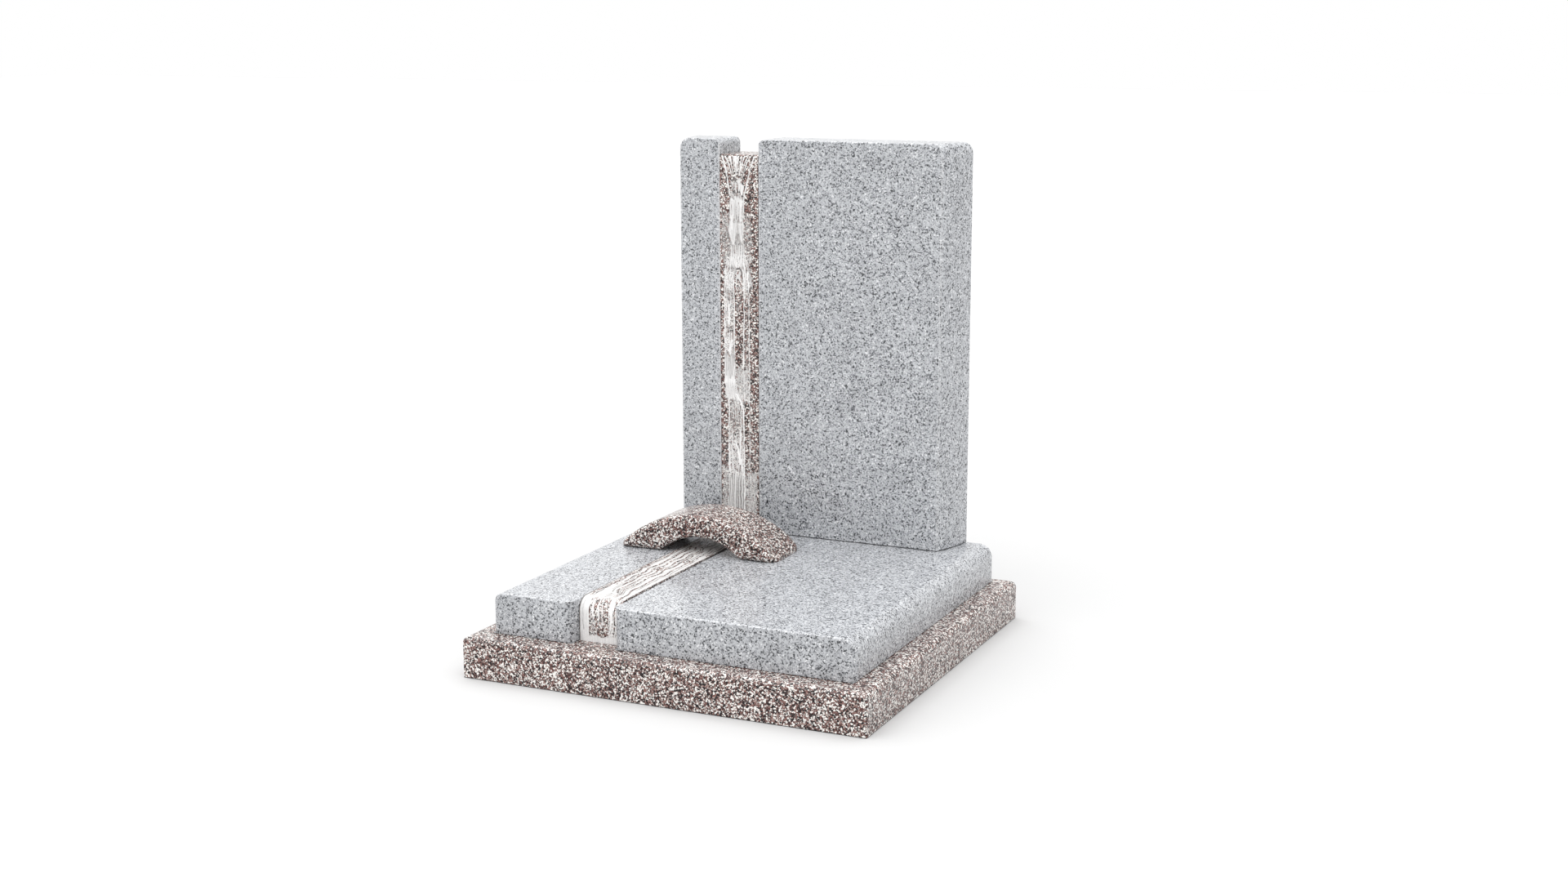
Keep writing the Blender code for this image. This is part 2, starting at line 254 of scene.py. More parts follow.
def is_arris(edge, foot_z):
    """A sharp edge above the slab's underside."""
    above_foot = max(vert.co.z for vert in edge.verts) > foot_z + ARRIS
    return above_foot and edge.calc_face_angle(0.0) > SMOOTH_ANGLE


def is_foot(edge, foot_z):
    """A sharp edge round the slab's underside."""
    at_foot = max(vert.co.z for vert in edge.verts) < foot_z + NEAR
    return at_foot and edge.calc_face_angle(0.0) > SMOOTH_ANGLE


def make_stele_slab(name, node, side, material):
    """A stele slab. Its outer end, on the given side, flares to the back and bows out."""
    low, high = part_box(node)
    inner_x = low.x if side > 0 else high.x
    end_x = (high.x if side > 0 else low.x) - side * END_FLARE
    thickness = high.y - low.y
    outline = [Vector((inner_x, low.y, low.z))]
    for step in range(BOW_SEGMENTS + 1):
        along = step / BOW_SEGMENTS
        reach = side * (END_FLARE * along + END_BOW * sin(pi * along))
        outline.append(Vector((end_x + reach, low.y + thickness * along, low.z)))
    outline.append(Vector((inner_x, high.y, low.z)))

    bm = bmesh.new()
    foot = bm.faces.new([bm.verts.new(point) for point in outline])
    raised = bmesh.ops.extrude_face_region(bm, geom=[foot], use_keep_orig=True)
    top_verts = [item for item in raised["geom"] if isinstance(item, bmesh.types.BMVert)]
    bmesh.ops.translate(bm, vec=(0, 0, high.z - low.z), verts=top_verts)
    bmesh.ops.recalc_face_normals(bm, faces=bm.faces[:])

    inner_edges = []
    outer_edges = []
    for edge in bm.edges:
        if min(vert.co.z for vert in edge.verts) < high.z - NEAR:
            continue
        at_inner = [abs(vert.co.x - inner_x) < NEAR for vert in edge.verts]
        if all(at_inner):
            inner_edges.append(edge)
        elif not any(at_inner):
            outer_edges.append(edge)
    round_edges(bm, inner_edges, INNER_TOP_RADIUS, ROUND_SEGMENTS)
    outer_edges = [edge for edge in outer_edges if edge.is_valid]
    round_edges(bm, outer_edges, END_TOP_RADIUS, ROUND_SEGMENTS)
    arrises = [edge for edge in bm.edges if is_arris(edge, low.z)]
    round_edges(bm, arrises, ARRIS, ARRIS_SEGMENTS)
    foot_edges = [edge for edge in bm.edges if is_foot(edge, low.z)]
    round_edges(bm, foot_edges, FOOT_ARRIS, ARRIS_SEGMENTS)
    piece = add_piece(name, node, mesh_of(name, bm), material)
    settle_normals(piece)
    apply_modifiers(piece)
    mark_highlight_and_shade_faces(piece, 1.0)


# Bridge


def arc_height(offset, half_chord, rise):
    """Height of a circular arc above its chord, at an offset from the middle."""
    radius = (half_chord ** 2 + rise ** 2) / (2 * rise)
    return sqrt(max(radius ** 2 - offset ** 2, 0.0)) - (radius - rise)


def bridge_half_width(offset, half_length, width):
    """Half the bridge's width, which is waisted and has rounded corners in plan."""
    spread = float(smooth_step(abs(offset) / (half_length - BRIDGE_PLAN_RADIUS)))
    half = (BRIDGE_WAIST + (width - BRIDGE_WAIST) * spread) / 2
    past = abs(offset) - (half_length - BRIDGE_PLAN_RADIUS)
    if past > 0:
        half -= BRIDGE_PLAN_RADIUS - sqrt(max(BRIDGE_PLAN_RADIUS ** 2 - past ** 2, 0.0))
    return half


def bridge_section(bm, offset, low, high):
    """One cross-section of the bridge, a rectangle with rounded corners."""
    middle = (low + high) / 2
    half_length = (high.x - low.x) / 2
    crown = high.z - low.z
    top = BRIDGE_TIP_HEIGHT + arc_height(offset, half_length, crown - BRIDGE_TIP_HEIGHT)
    under = max(arc_height(offset - BRIDGE_ARCH_SHIFT, BRIDGE_ARCH_SPAN / 2, BRIDGE_ARCH_RISE), 0.0)
    half = bridge_half_width(offset, half_length, high.y - low.y)
    radius = min(BRIDGE_EDGE_RADIUS, (top - under) * BRIDGE_EDGE_SHARE)
    corners = [(half - radius, under + radius, -90), (half - radius, top - radius, 0),
               (radius - half, top - radius, 90), (radius - half, under + radius, 180)]
    ring = []
    for y, z, start in corners:
        for step in range(BRIDGE_CORNER_STEPS + 1):
            angle = radians(start + 90 * step / BRIDGE_CORNER_STEPS)
            across = y + radius * cos(angle)
            up = z + radius * sin(angle)
            ring.append(bm.verts.new((middle.x + offset, middle.y + across, low.z + up)))
    return ring


def make_bridge(material):
    low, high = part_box("bridge")
    half_length = (high.x - low.x) / 2
    bm = bmesh.new()
    rings = []
    for station in range(BRIDGE_STATIONS + 1):
        offset = -half_length * cos(pi * station / BRIDGE_STATIONS)
        rings.append(bridge_section(bm, offset, low, high))
    for here, there in zip(rings, rings[1:]):
        for index in range(len(here)):
            after = (index + 1) % len(here)
            bm.faces.new((here[index], here[after], there[after], there[index]))
    bm.faces.new(rings[0])
    bm.faces.new(rings[-1])
    add_piece("bridge_stone", "bridge", mesh_of("bridge_stone", bm), material)


# Carved water

NOISE_TABLE = 512
NOISE_ORIGIN = (200, 20)

# Fields of noise over a carving: cell across and along in millimetres, and seed
WARP_NOISE = (8, 15, 3)
STREAK_NOISE = (1.6, 34, 5)
MOTTLE_NOISE = (3.2, 4.5, 7)
SWAY_NOISE = (60, 38, 9)
RAGGED_NOISE = (3.0, 60, 11)

# How the calls of a carving lay their water: softness, reach and ridge height are in
# millimetres, cuts are shares of CARVING_DEPTH, and the rest are plain shares
WARP_REACH = 1.3
RAGGED_REACH = 11
WATER_SOFT = 0.9
HAZE_STREAKS = 0.12
HAZE_CUT = 0.35
STRAND_WIDTHS = (0.55, 1.45)
STRAND_FILL_SPREAD = 0.15
STRAND_SHADES = (0.86, 1.0)
STRAND_WAVER = 0.25
STRAND_RAGGED = 0.5
STRAND_END_SOFT = 1.5
STRAND_FROST = 0.88
STRAND_CUT = 0.7
RIDGE_HEIGHT = 1.0
# Painted shade across each strand: darker at its edges, lighter on its ridge
RIDGE_PAINTED_SHADE = 0.10
STREAK_LIGHT = 0.05
SCORE_PLACES = (0.2, 0.8)
SCORE_REACHES = (0.35, 0.95)
SCORE_SWAY = 0.02
SCORE_SOFT = 0.8
SCORE_END_SOFT = 6
SCORE_KEPT = 1.3
STROKE_SWELL = 0.35
STROKE_END_SOFT = 3
STROKE_KEPT = 1.6
STROKE_MOTTLE = 0.05
STROKE_CUT = 0.6


def value_noise(across, along, cell_across, cell_along, seed):
    """Smooth random field from -1 to 1, with cells of the given size."""
    table = np.random.default_rng(seed).uniform(-1, 1, (NOISE_TABLE, NOISE_TABLE))
    x = across / cell_across + NOISE_ORIGIN[0]
    y = along / cell_along + NOISE_ORIGIN[1]
    column = np.floor(x).astype(int)
    row = np.floor(y).astype(int)
    blend_x = smooth_step(x - column)
    blend_y = smooth_step(y - row)

    def corner(right, up):
        return table[(column + right) % NOISE_TABLE, (row + up) % NOISE_TABLE]

    low = corner(0, 0) * (1 - blend_x) + corner(1, 0) * blend_x
    high = corner(0, 1) * (1 - blend_x) + corner(1, 1) * blend_x
    return low * (1 - blend_y) + high * blend_y


def between(values, low, high, soft, lean=0.5):
    """1 between low and high and 0 past them, with soft borders, in millimetres."""
    inside = np.minimum(values - low * MM, high * MM - values)
    return smooth_step(inside / (soft * MM) + lean)


def near(values, middle, half, soft, lean=0.5):
    """1 within half of the middle and 0 past it, with soft borders, in millimetres."""
    return smooth_step((half * MM - np.abs(values - middle * MM)) / (soft * MM) + lean)


class Carving:
    """Carved face of a strip: how far it is frosted, how white, and how deep it is cut.

    Across runs from the strip's middle, and along from its foot. The calls take heights
    and widths in millimetres. A path is a list of points from the top down, each with its
    height first, and then the left and right border if the call doesn't say otherwise.
    """

    def __init__(self, across, along):
        def noise(cell_across, cell_along, seed):
            return value_noise(across, along, cell_across * MM, cell_along * MM, seed)

        self.across = across + WARP_REACH * MM * noise(*WARP_NOISE)
        self.along = along
        self.frost = np.zeros_like(across)
        self.white = np.zeros_like(across)
        self.depth = np.zeros_like(across)
        self.streaks = noise(*STREAK_NOISE)
        self.mottle = noise(*MOTTLE_NOISE)
        self.sway = noise(*SWAY_NOISE)
        self.ragged = RAGGED_REACH * MM * noise(*RAGGED_NOISE)

    def lay(self, cover, white, depth):
        """Lay a carved area over what is there."""
        cover = np.clip(cover, 0.0, 1.0)
        self.frost = np.maximum(self.frost, cover)
        self.white += (white - self.white) * cover
        self.depth += (depth - self.depth) * cover

    def cut_back(self, cover, frost=0.0):
        """Take the frost off again, down to the given share of it."""
        keep = 1 - np.clip(cover, 0.0, 1.0) * (1 - frost)
        self.frost *= keep
        self.depth *= keep

    def along_path(self, path, column):
        """What the path's column says at each height."""
        rising = np.array([(point[0], point[column]) for point in reversed(path)]) * MM
        return np.interp(self.along, rising[:, 0], rising[:, 1])

    def borders(self, path):
        """The path's left and right border at each height."""
        return self.along_path(path, 1), self.along_path(path, 2)

    def inside_ends(self, path):
        """Distance inside the path's head and foot."""
        return np.minimum(path[0][0] * MM - self.along, self.along - path[-1][0] * MM)

    def haze(self, path, frost, white, soft=5.0, rough=0.9):
        """Frosted stone with a ragged border, between the borders of the path."""
        left, right = self.borders(path)
        edge = np.minimum(self.across - left, right - self.across)
        ends = self.inside_ends(path) + self.ragged
        cover = smooth_step(np.minimum(edge, ends) / (soft * MM) + 0.5 + rough * self.mottle)
        tone = white * (1 + HAZE_STREAKS * self.streaks)
        self.lay(frost * cover, tone, -HAZE_CUT * CARVING_DEPTH * cover)

    def sheet(self, path, strands, white, seed, fill=0.8, tip=20.0, head=4.0):
        """Strands of water side by side, each with its own head and a pointed tip."""
        left, right = self.borders(path)
        random = np.random.default_rng(seed)
        borders = np.cumsum(random.uniform(*STRAND_WIDTHS, strands))
        share = (self.across - left) / (right - left) * borders[-1] + STRAND_WAVER * self.sway
        lane = np.clip(np.searchsorted(borders, share), 0, strands - 1)
        width = np.diff(borders, prepend=0.0)
        off = np.abs(share - borders[lane] + width[lane] / 2) / width[lane]
        foot = path[-1][0] * MM + random.uniform(0, 1, strands) * tip * MM
        top = path[0][0] * MM - random.uniform(0, 1, strands) * head * MM
        spread = STRAND_FILL_SPREAD
        half = random.uniform(fill - spread, fill + spread, strands) / 2
        shade = white * random.uniform(*STRAND_SHADES, strands)
        narrowing = np.sqrt(np.clip((self.along - foot[lane]) / (tip * MM), 0, 1))
        lane_width = (right - left) * width[lane] / borders[-1]
        edge = (half[lane] * narrowing - off) * lane_width / (WATER_SOFT * MM)
        head_edge = top[lane] - self.along + STRAND_RAGGED * self.ragged
        ends = np.minimum(self.along - foot[lane], head_edge) / (STRAND_END_SOFT * MM)
        cover = STRAND_FROST * smooth_step(np.minimum(edge, ends) + 0.5)
        ridge = 1 - np.clip(2 * off, 0, 1) ** 2
        # Painted shade across the strand, darker at its edges and lighter on its ridge, with
        # streaks of tone
        light = 1 - RIDGE_PAINTED_SHADE + RIDGE_PAINTED_SHADE * ridge + STREAK_LIGHT * self.streaks
        depth = -STRAND_CUT * CARVING_DEPTH + RIDGE_HEIGHT * MM * ridge
        self.lay(cover, shade[lane] * light, depth)

    def scores(self, path, count, seed, white=None, half=0.5, frost=0.25):
        """Fine dark lines along the water, each over its own stretch. They are cut back to
        the stone, or greyed where a tone is given."""
        left, right = self.borders(path)
        share = (self.across - left) / (right - left) + SCORE_SWAY * self.sway
        foot, top = path[-1][0] * MM, path[0][0] * MM
        random = np.random.default_rng(seed)
        for middle in (np.arange(count) + random.uniform(*SCORE_PLACES, count)) / count:
            reach = (top - foot) * random.uniform(*SCORE_REACHES)
            start = foot + (top - foot - reach) * random.uniform(0, 1)
            edge = (half * MM - np.abs(share - middle) * (right - left)) / (SCORE_SOFT * MM)
            ends = np.minimum(self.along - start, start + reach - self.along)
            cover = smooth_step(np.minimum(edge, ends / (SCORE_END_SOFT * MM)) + 0.5)
            cover = cover * smooth_step(SCORE_KEPT + self.streaks)
            if white is None:
                self.cut_back(cover, frost)
            else:
                self.white += (white - self.white) * cover

    def stroke(self, path, white, gaps=0.0):
        """One stream along a path of (height, middle, half width), broken up by gaps."""
        middle = self.along_path(path, 1)
        half = self.along_path(path, 2) * (1 + STROKE_SWELL * self.mottle)
        edge = (half - np.abs(self.across - middle)) / (WATER_SOFT * MM)
        ends = self.inside_ends(path) / (STROKE_END_SOFT * MM)
        cover = smooth_step(np.minimum(edge, ends) + 0.5)
        cover = cover * smooth_step(STROKE_KEPT - gaps * (1 + self.streaks + self.mottle))
        self.lay(cover, white * (1 + STROKE_MOTTLE * self.mottle), -STROKE_CUT * CARVING_DEPTH)


# Rays of the fan: middle at the top and at the foot, half width at each, and foot height
FAN_RAYS = [
    (-46, -26, 3.2, 1.1, 850), (-38, -22, 2.6, 1.1, 904), (-27, -18, 3.4, 1.1, 908),
    (-18, -13, 1.8, 0.9, 912), (-9, -8, 5.6, 1.4, 900), (-1, -3, 3.0, 1.0, 910),
    (8, 2, 1.8, 0.9, 904), (16, 5, 2.8, 1.1, 912), (25, 9, 1.7, 1.0, 906),
    (32, 12, 2.4, 1.1, 900), (43, 14, 2.6, 2.0, 842)]
FAN_TOP = 951
FAN_CURVE = 1.5
FAN_STEPS = 8


def carve_fan(carving):
    """Rays of water that gather from the strip's top into the head of the fall."""
    for top_x, foot_x, top_half, foot_half, foot in FAN_RAYS:
        path = []
        for step in range(FAN_STEPS + 1):
            rise = 1 - step / FAN_STEPS
            path.append((foot + (FAN_TOP - foot) * rise,
                         foot_x + (top_x - foot_x) * rise ** FAN_CURVE,
                         foot_half + (top_half - foot_half) * rise))
        carving.stroke(path, 0.97, gaps=0.5)


def carve_tiers(carving):
    """The upper column: tier over tier of bright tongues, then a grey one."""
    haze, sheet, scores = carving.haze, carving.sheet, carving.scores
    haze([(812, -50, -23), (684, -49, -21)], 0.50, 0.66)
    haze([(812, 12, 33), (684, 12, 38)], 0.50, 0.66)
    haze([(912, -25, 12), (846, -23, 12)], 0.40, 0.85, soft=2.0)
    haze([(856, -26, 13), (770, -26, 13)], 0.60, 0.66, soft=2.0, rough=0.5)
    haze([(790, -26, 13), (676, -26, 14)], 0.62, 0.55, soft=2.0, rough=0.5)
    sheet([(730, -25, 14), (668, -27, 17)], 7, 0.78, 21, fill=0.62, tip=8)
    sheet([(786, -26, -5), (722, -23, -12)], 1, 0.86, 22, fill=1.1, tip=30, head=2)
    sheet([(786, -2, 13), (718, 0, 12)], 1, 0.86, 23, fill=1.1, tip=28, head=2)
    scores([(784, -24, 12), (735, -22, 11)], 7, 27, white=0.30)
    sheet([(850, -27, 13), (770, -24, 12)], 3, 0.90, 24, fill=1.15, tip=28, head=9)
    scores([(842, -25, 12), (784, -23, 11)], 8, 28, white=0.25)
    scores([(842, -25, 12), (784, -23, 11)], 4, 78)
    sheet([(894, -24, 4), (856, -18, 3)], 3, 0.92, 25, fill=0.9, tip=24, head=8)
    scores([(894, -24, 8), (850, -18, 6)], 5, 79)
    sheet([(880, 1, 13), (847, 1, 10)], 1, 0.94, 26, fill=1.0, tip=20)
    scores([(890, -22, 10), (862, -18, 8)], 4, 29, white=0.35)


def carve_splash(carving):
    """Spray that spreads over the small rock arch."""
    haze, sheet, scores = carving.haze, carving.sheet, carving.scores
    haze([(704, -32, 20), (668, -42, 32), (648, -46, 38), (618, -46, 38)], 0.60, 0.86, soft=6)
    haze([(640, 8, 30), (590, 8, 28)], 0.46, 0.80, soft=4)
    sheet([(694, -28, 16), (668, -38, 26), (630, -42, 31)], 10, 0.95, 31,
          fill=0.52, tip=50, head=10)
    scores([(690, -28, 16), (640, -40, 28)], 9, 32, white=0.25)
    scores([(690, -28, 16), (640, -40, 28)], 7, 33)


# The small rock arch, in millimetres: its opening, and the oval of its outline
ARCH_MIDDLE = -3
ARCH_HALF = 10.5
ARCH_CROWN = 669
ARCH_RISE = 11
ARCH_FOOT = 410
ARCH_OVAL_HALF = 14
ARCH_OUTLINE_FOOT = 22
ARCH_OUTLINE_SHARE = 0.20


def carve_arch(carving):
    """The small rock arch: bare stone in its opening, spray inside its top and a dark
    outline."""
    off = (carving.across - ARCH_MIDDLE * MM) / (ARCH_HALF * MM)
    crown = ARCH_CROWN * MM
    roof = crown - ARCH_RISE * MM * (1 - np.sqrt(np.clip(1 - off ** 2, 0, 1)))
    inside = near(carving.across, ARCH_MIDDLE, ARCH_HALF, 1.2, lean=0.0)
    below = smooth_step((roof - carving.along) / (2 * MM))
    above_foot = smooth_step((carving.along - ARCH_FOOT * MM) / (12 * MM))
    carving.cut_back(inside * below * above_foot, 0.15)
    carving.haze([(660, -10, 4), (640, -10, 4)], 0.90, 0.66, soft=2.5, rough=0.4)
    carving.haze([(640, -11, 5), (560, -10, 5)], 0.42, 0.80, soft=3)
    oval_half = ARCH_OVAL_HALF * MM
    oval = np.hypot(off, (carving.along - crown + oval_half) / oval_half)
    outline = smooth_step((ARCH_OUTLINE_SHARE - np.abs(oval - 1)) * 12)
    legs = smooth_step((carving.along - crown + ARCH_OUTLINE_FOOT * MM) / (8 * MM))
    carving.lay(outline * legs, 0.08, -CARVING_DEPTH)


def carve_left_stream(carving):
    """The broad stream down the strip's left side."""
    haze, sheet = carving.haze, carving.sheet
    stroke, scores = carving.stroke, carving.scores
    haze([(660, -42, -12), (380, -42, -13)], 0.54, 0.88, soft=2.5, rough=0.6)
    haze([(664, -42, -12), (634, -40, -16), (612, -33, -26)], 0.64, 0.88, soft=4)
    scores([(655, -42, -13), (610, -40, -16)], 5, 47, white=0.45)
    haze([(586, -35, -24), (556, -38, -22), (528, -32, -28)], 0.74, 0.95, soft=4)
    sheet([(640, -42, -14), (446, -40, -15)], 7, 0.96, 43, fill=0.24, tip=60, head=90)
    haze([(506, -33, -24), (478, -41, -18), (450, -36, -28)], 0.76, 0.95, soft=4)
    scores([(610, -39, -16), (460, -39, -17)], 6, 48, half=0.6)
    haze([(450, -42, -13), (378, -42, -12)], 0.84, 0.42, soft=2, rough=0.2)
    sheet([(456, -42, -12), (372, -42, -11)], 6, 0.86, 45, fill=0.50, tip=6, head=20)
    haze([(392, -42, -12), (364, -42, -8), (338, -38, 4)], 0.74, 0.93, soft=4)
    sheet([(412, -42, -12), (372, -42, -9), (346, -40, 0)], 6, 0.97, 46, fill=0.46, tip=30, head=30)
    stroke([(640, -40, 1.1), (540, -41, 1.3), (500, -41, 1.6), (390, -41, 1.0)], 1.0)
    stroke([(640, -15, 1.0), (400, -14, 1.0)], 0.95, gaps=0.25)


def carve_thin_streams(carving):
    """Two threads of water on bare stone, right of the middle."""
    carving.haze([(640, 12, 30), (330, 8, 30)], 0.38, 0.74, soft=5)
    carving.stroke([(668, 10, 3.0), (640, 13, 1.7), (575, 13, 1.3), (520, 12, 2.0), (500, 11, 0.9),
                    (430, 10, 2.4), (424, 11, 0.8), (300, 12, 0.9)], 0.97, gaps=0.55)
    carving.stroke([(664, 22, 2.2), (625, 26, 1.1), (400, 27, 1.1), (330, 27, 1.0), (120, 28, 0.8)],
                   0.97, gaps=0.20)
    carving.haze([(420, -14, 26), (336, -8, 26)], 0.60, 0.76, soft=5)


def carve_second_fall(carving):
    """The lower fall, from a small dome down to the foot of the stele."""
    haze, sheet = carving.haze, carving.sheet
    stroke, scores = carving.stroke, carving.scores
    haze([(235, -51, -28), (0, -51, -28)], 0.34, 0.74, soft=9)
    haze([(160, -51, -28), (0, -51, -28)], 0.56, 0.74, soft=9)
    haze([(245, 12, 50), (0, 12, 51)], 0.34, 0.76, soft=9)
    haze([(150, 12, 50), (0, 12, 51)], 0.58, 0.76, soft=9)
    haze([(342, -33, 12), (0, -34, 14)], 0.50, 0.88, soft=2, rough=0.4)
    haze([(250, -33, 10), (120, -34, 12)], 0.52, 0.96, soft=5)
    haze([(140, -34, 14), (0, -36, 20)], 0.72, 0.16, soft=2, rough=0.5)
    sheet([(350, -32, 6), (318, -32, 11), (236, -32, 11)], 9, 0.97, 51, fill=0.36, tip=60, head=30)
    sheet([(268, -32, 11), (120, -32, 12)], 7, 1.0, 52, fill=0.40, tip=90, head=70)
    stroke([(232, -14, 1.0), (215, -9, 2.4), (196, -4, 2.8), (168, -1, 1.6)], 1.0)
    sheet([(190, -33, 13), (0, -36, 18)], 8, 1.0, 54, fill=0.44, tip=6, head=60)
    scores([(330, -30, 10), (190, -30, 10)], 6, 55, half=0.6)
    stroke([(352, -12, 2.4), (344, -4, 2.2), (332, 3, 1.8), (312, 9, 1.6), (280, 11, 1.6),
            (60, 12, 1.7), (0, 14, 1.7)], 1.0)
    stroke([(340, -32, 1.3), (240, -32, 1.1), (150, -31, 1.3)], 0.96)


def carve_waterfall(across, along):
    """Water that falls in steps from the strip's top to the ledger."""
    carving = Carving(across, along)
    carve_fan(carving)
    carve_tiers(carving)
    carve_splash(carving)
    carve_arch(carving)
    carve_left_stream(carving)
    carve_thin_streams(carving)
    carve_second_fall(carving)
    return carving


# The river, in millimetres along its face: the front face ends where the rounded edge
# begins, the top begins where that ends, and it is carved up to the waterfall strip
RIVER_FOOT = -30
RIVER_FACE_END = 68
RIVER_TOP_START = 118
RIVER_END = RIVER_TOP_START + (
    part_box("waterfall_strip")[0].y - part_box("river_strip")[0].y - RIVER_EDGE_RADIUS) / MM
# Painted shade in the side joints starts this far from the middle
RIVER_JOINT_SHADE = 50
RIVER_SWAY = 5
# Share by which the top's water is greyed: painted shade against the strong light on the top
RIVER_TOP_PAINTED_SHADE = 0.36
# Bare patches on the top: height, left, right and length
RIVER_PATCHES = [
    (300, -50, -36, 240), (560, -52, -47, 800), (385, -20, 14, 44), (215, -49, -38, 60),
    (470, 8, 40, 50), (350, 47, 52, 420), (640, -40, 0, 90)]
# Dark grooves in the falling water: middle, half width, foot and top
RIVER_GROOVES = [(-25, 1.8, 18, 84), (-9, 1.6, 34, 112), (15, 1.6, 30, 116), (38, 1.3, 26, 128)]
# Rounded tip of bare stone: middle, height, and half of each size
RIVER_TIP = (6, 24, 14, 12)


def carve_river_top(carving, across):
    """Flow lines and bare patches, and a ripple where the water starts to fall."""
    scores = carving.scores
    scores([(RIVER_END, -50, 50), (108, -50, 50)], 7, 61, half=1.9, frost=0.0)
    scores([(520, -48, 48), (98, -46, 46)], 7, 62, white=0.02, half=1.1)
    scores([(330, -48, 46), (92, -44, 44)], 6, 63, white=0.02, half=1.0)
    scores([(900, -48, 48), (380, -48, 46)], 9, 64, white=0.02, half=1.3)
    for height, left, right, length in RIVER_PATCHES:
        patch = near(carving.along, height, length / 2, 14, lean=0.3)
        patch = patch * between(across, left, right, 4, lean=0.3)
        carving.cut_back(patch * smooth_step(0.6 + 1.2 * carving.mottle), 0.2)
    carving.stroke([(178, -30, 4.0), (150, 4, 4.0), (134, 34, 3.0)], 0.95)


def carve_river_fall(carving, across):
    """Mottled stone behind the falling water, with dark grooves and a rounded tip."""
    along = carving.along
    fallen = smooth_step((along - (15 - 4 * carving.mottle) * MM) / (3 * MM))
    fallen = fallen * smooth_step((128 * MM - along) / (30 * MM))
    carving.cut_back(between(across, -28, 22, 3) * fallen, 0.40)
    carving.cut_back(between(across, 20, 50, 3) * fallen, 0.62)
    carving.sheet([(120, -24, 46), (28, -22, 44)], 6, 1.0, 64, fill=0.26, tip=24, head=24)
    for middle, half, foot, top in RIVER_GROOVES:
        groove = near(carving.across, middle, half, 1.2) * between(along, foot, top, 4, lean=0.0)
        carving.cut_back(groove * smooth_step(1.6 + carving.streaks), 0.0)
    middle, height, half, half_height = RIVER_TIP
    tip = 1 - np.hypot((across - middle * MM) / (half * MM),
                       (along - height * MM) / (half_height * MM))
    carving.cut_back(smooth_step(tip * 6), 0.0)
    # Thin groove in the plain border on the left
    carving.stroke([(98, -43, 0.6), (26, -43, 0.6)], 0.35)


def carve_river(across, along):
    """Water that flows along the strip and falls over its rounded front edge."""
    carving = Carving(across, along)
    on_top = smooth_step((along / MM - RIVER_FACE_END) / (RIVER_TOP_START - RIVER_FACE_END))
    carving.haze([(RIVER_END, -51, 50), (RIVER_TOP_START, -51, 50), (RIVER_FOOT, -52, 52)],
                 1.0, 0.86, soft=1.2, rough=0.2)
    carving.across = carving.across + RIVER_SWAY * MM * carving.sway * on_top
    carve_river_top(carving, across)
    carve_river_fall(carving, across)
    # Painted shade: the water on the top is greyed, to offset the stronger light that the top
    # catches
    carving.white *= 1 - RIVER_TOP_PAINTED_SHADE * on_top
    # Painted shade in the joints with the ledgers along both sides, broken on the right
    joint_shade = (np.abs(across) - RIVER_JOINT_SHADE * MM) / (0.8 * MM)
    joint_shade = smooth_step(joint_shade + 0.3 * carving.mottle)
    joint_shade = joint_shade * np.where(across < 0, 1.0, smooth_step(0.6 + 1.5 * carving.mottle))
    carving.lay(joint_shade, 0.0, 0.0)
    return carving


def strip_path(front, back, bottom, top, radius, back_radius):
    """Points and normals up the front, over the edge, along the top and over the back
    edge, as rows of (y, z, normal y, normal z)."""
    path = []
    rise = top - radius - bottom
    rows = round(rise / STRIP_ROW_LENGTH)
    for row in range(rows):
        path.append((front, bottom + rise * row / rows, -1.0, 0.0))
    steps = max(STRIP_EDGE_STEPS, round(radius * pi / 2 / STRIP_ROW_LENGTH))
    for step in range(steps):
        angle = pi / 2 * step / steps
        path.append((front + radius * (1 - cos(angle)), top - radius + radius * sin(angle),
                     -cos(angle), sin(angle)))
    run = back - front - radius - back_radius
    rows = round(run / STRIP_ROW_LENGTH)
    for row in range(rows + 1):
        path.append((front + radius + run * row / rows, top, 0.0, 1.0))
    if back_radius > 0:
        for step in range(1, ROUND_SEGMENTS + 1):
            angle = pi / 2 * step / ROUND_SEGMENTS
            path.append((back - back_radius * (1 - sin(angle)),
                         top - back_radius * (1 - cos(angle)), sin(angle), cos(angle)))
    return np.array(path)


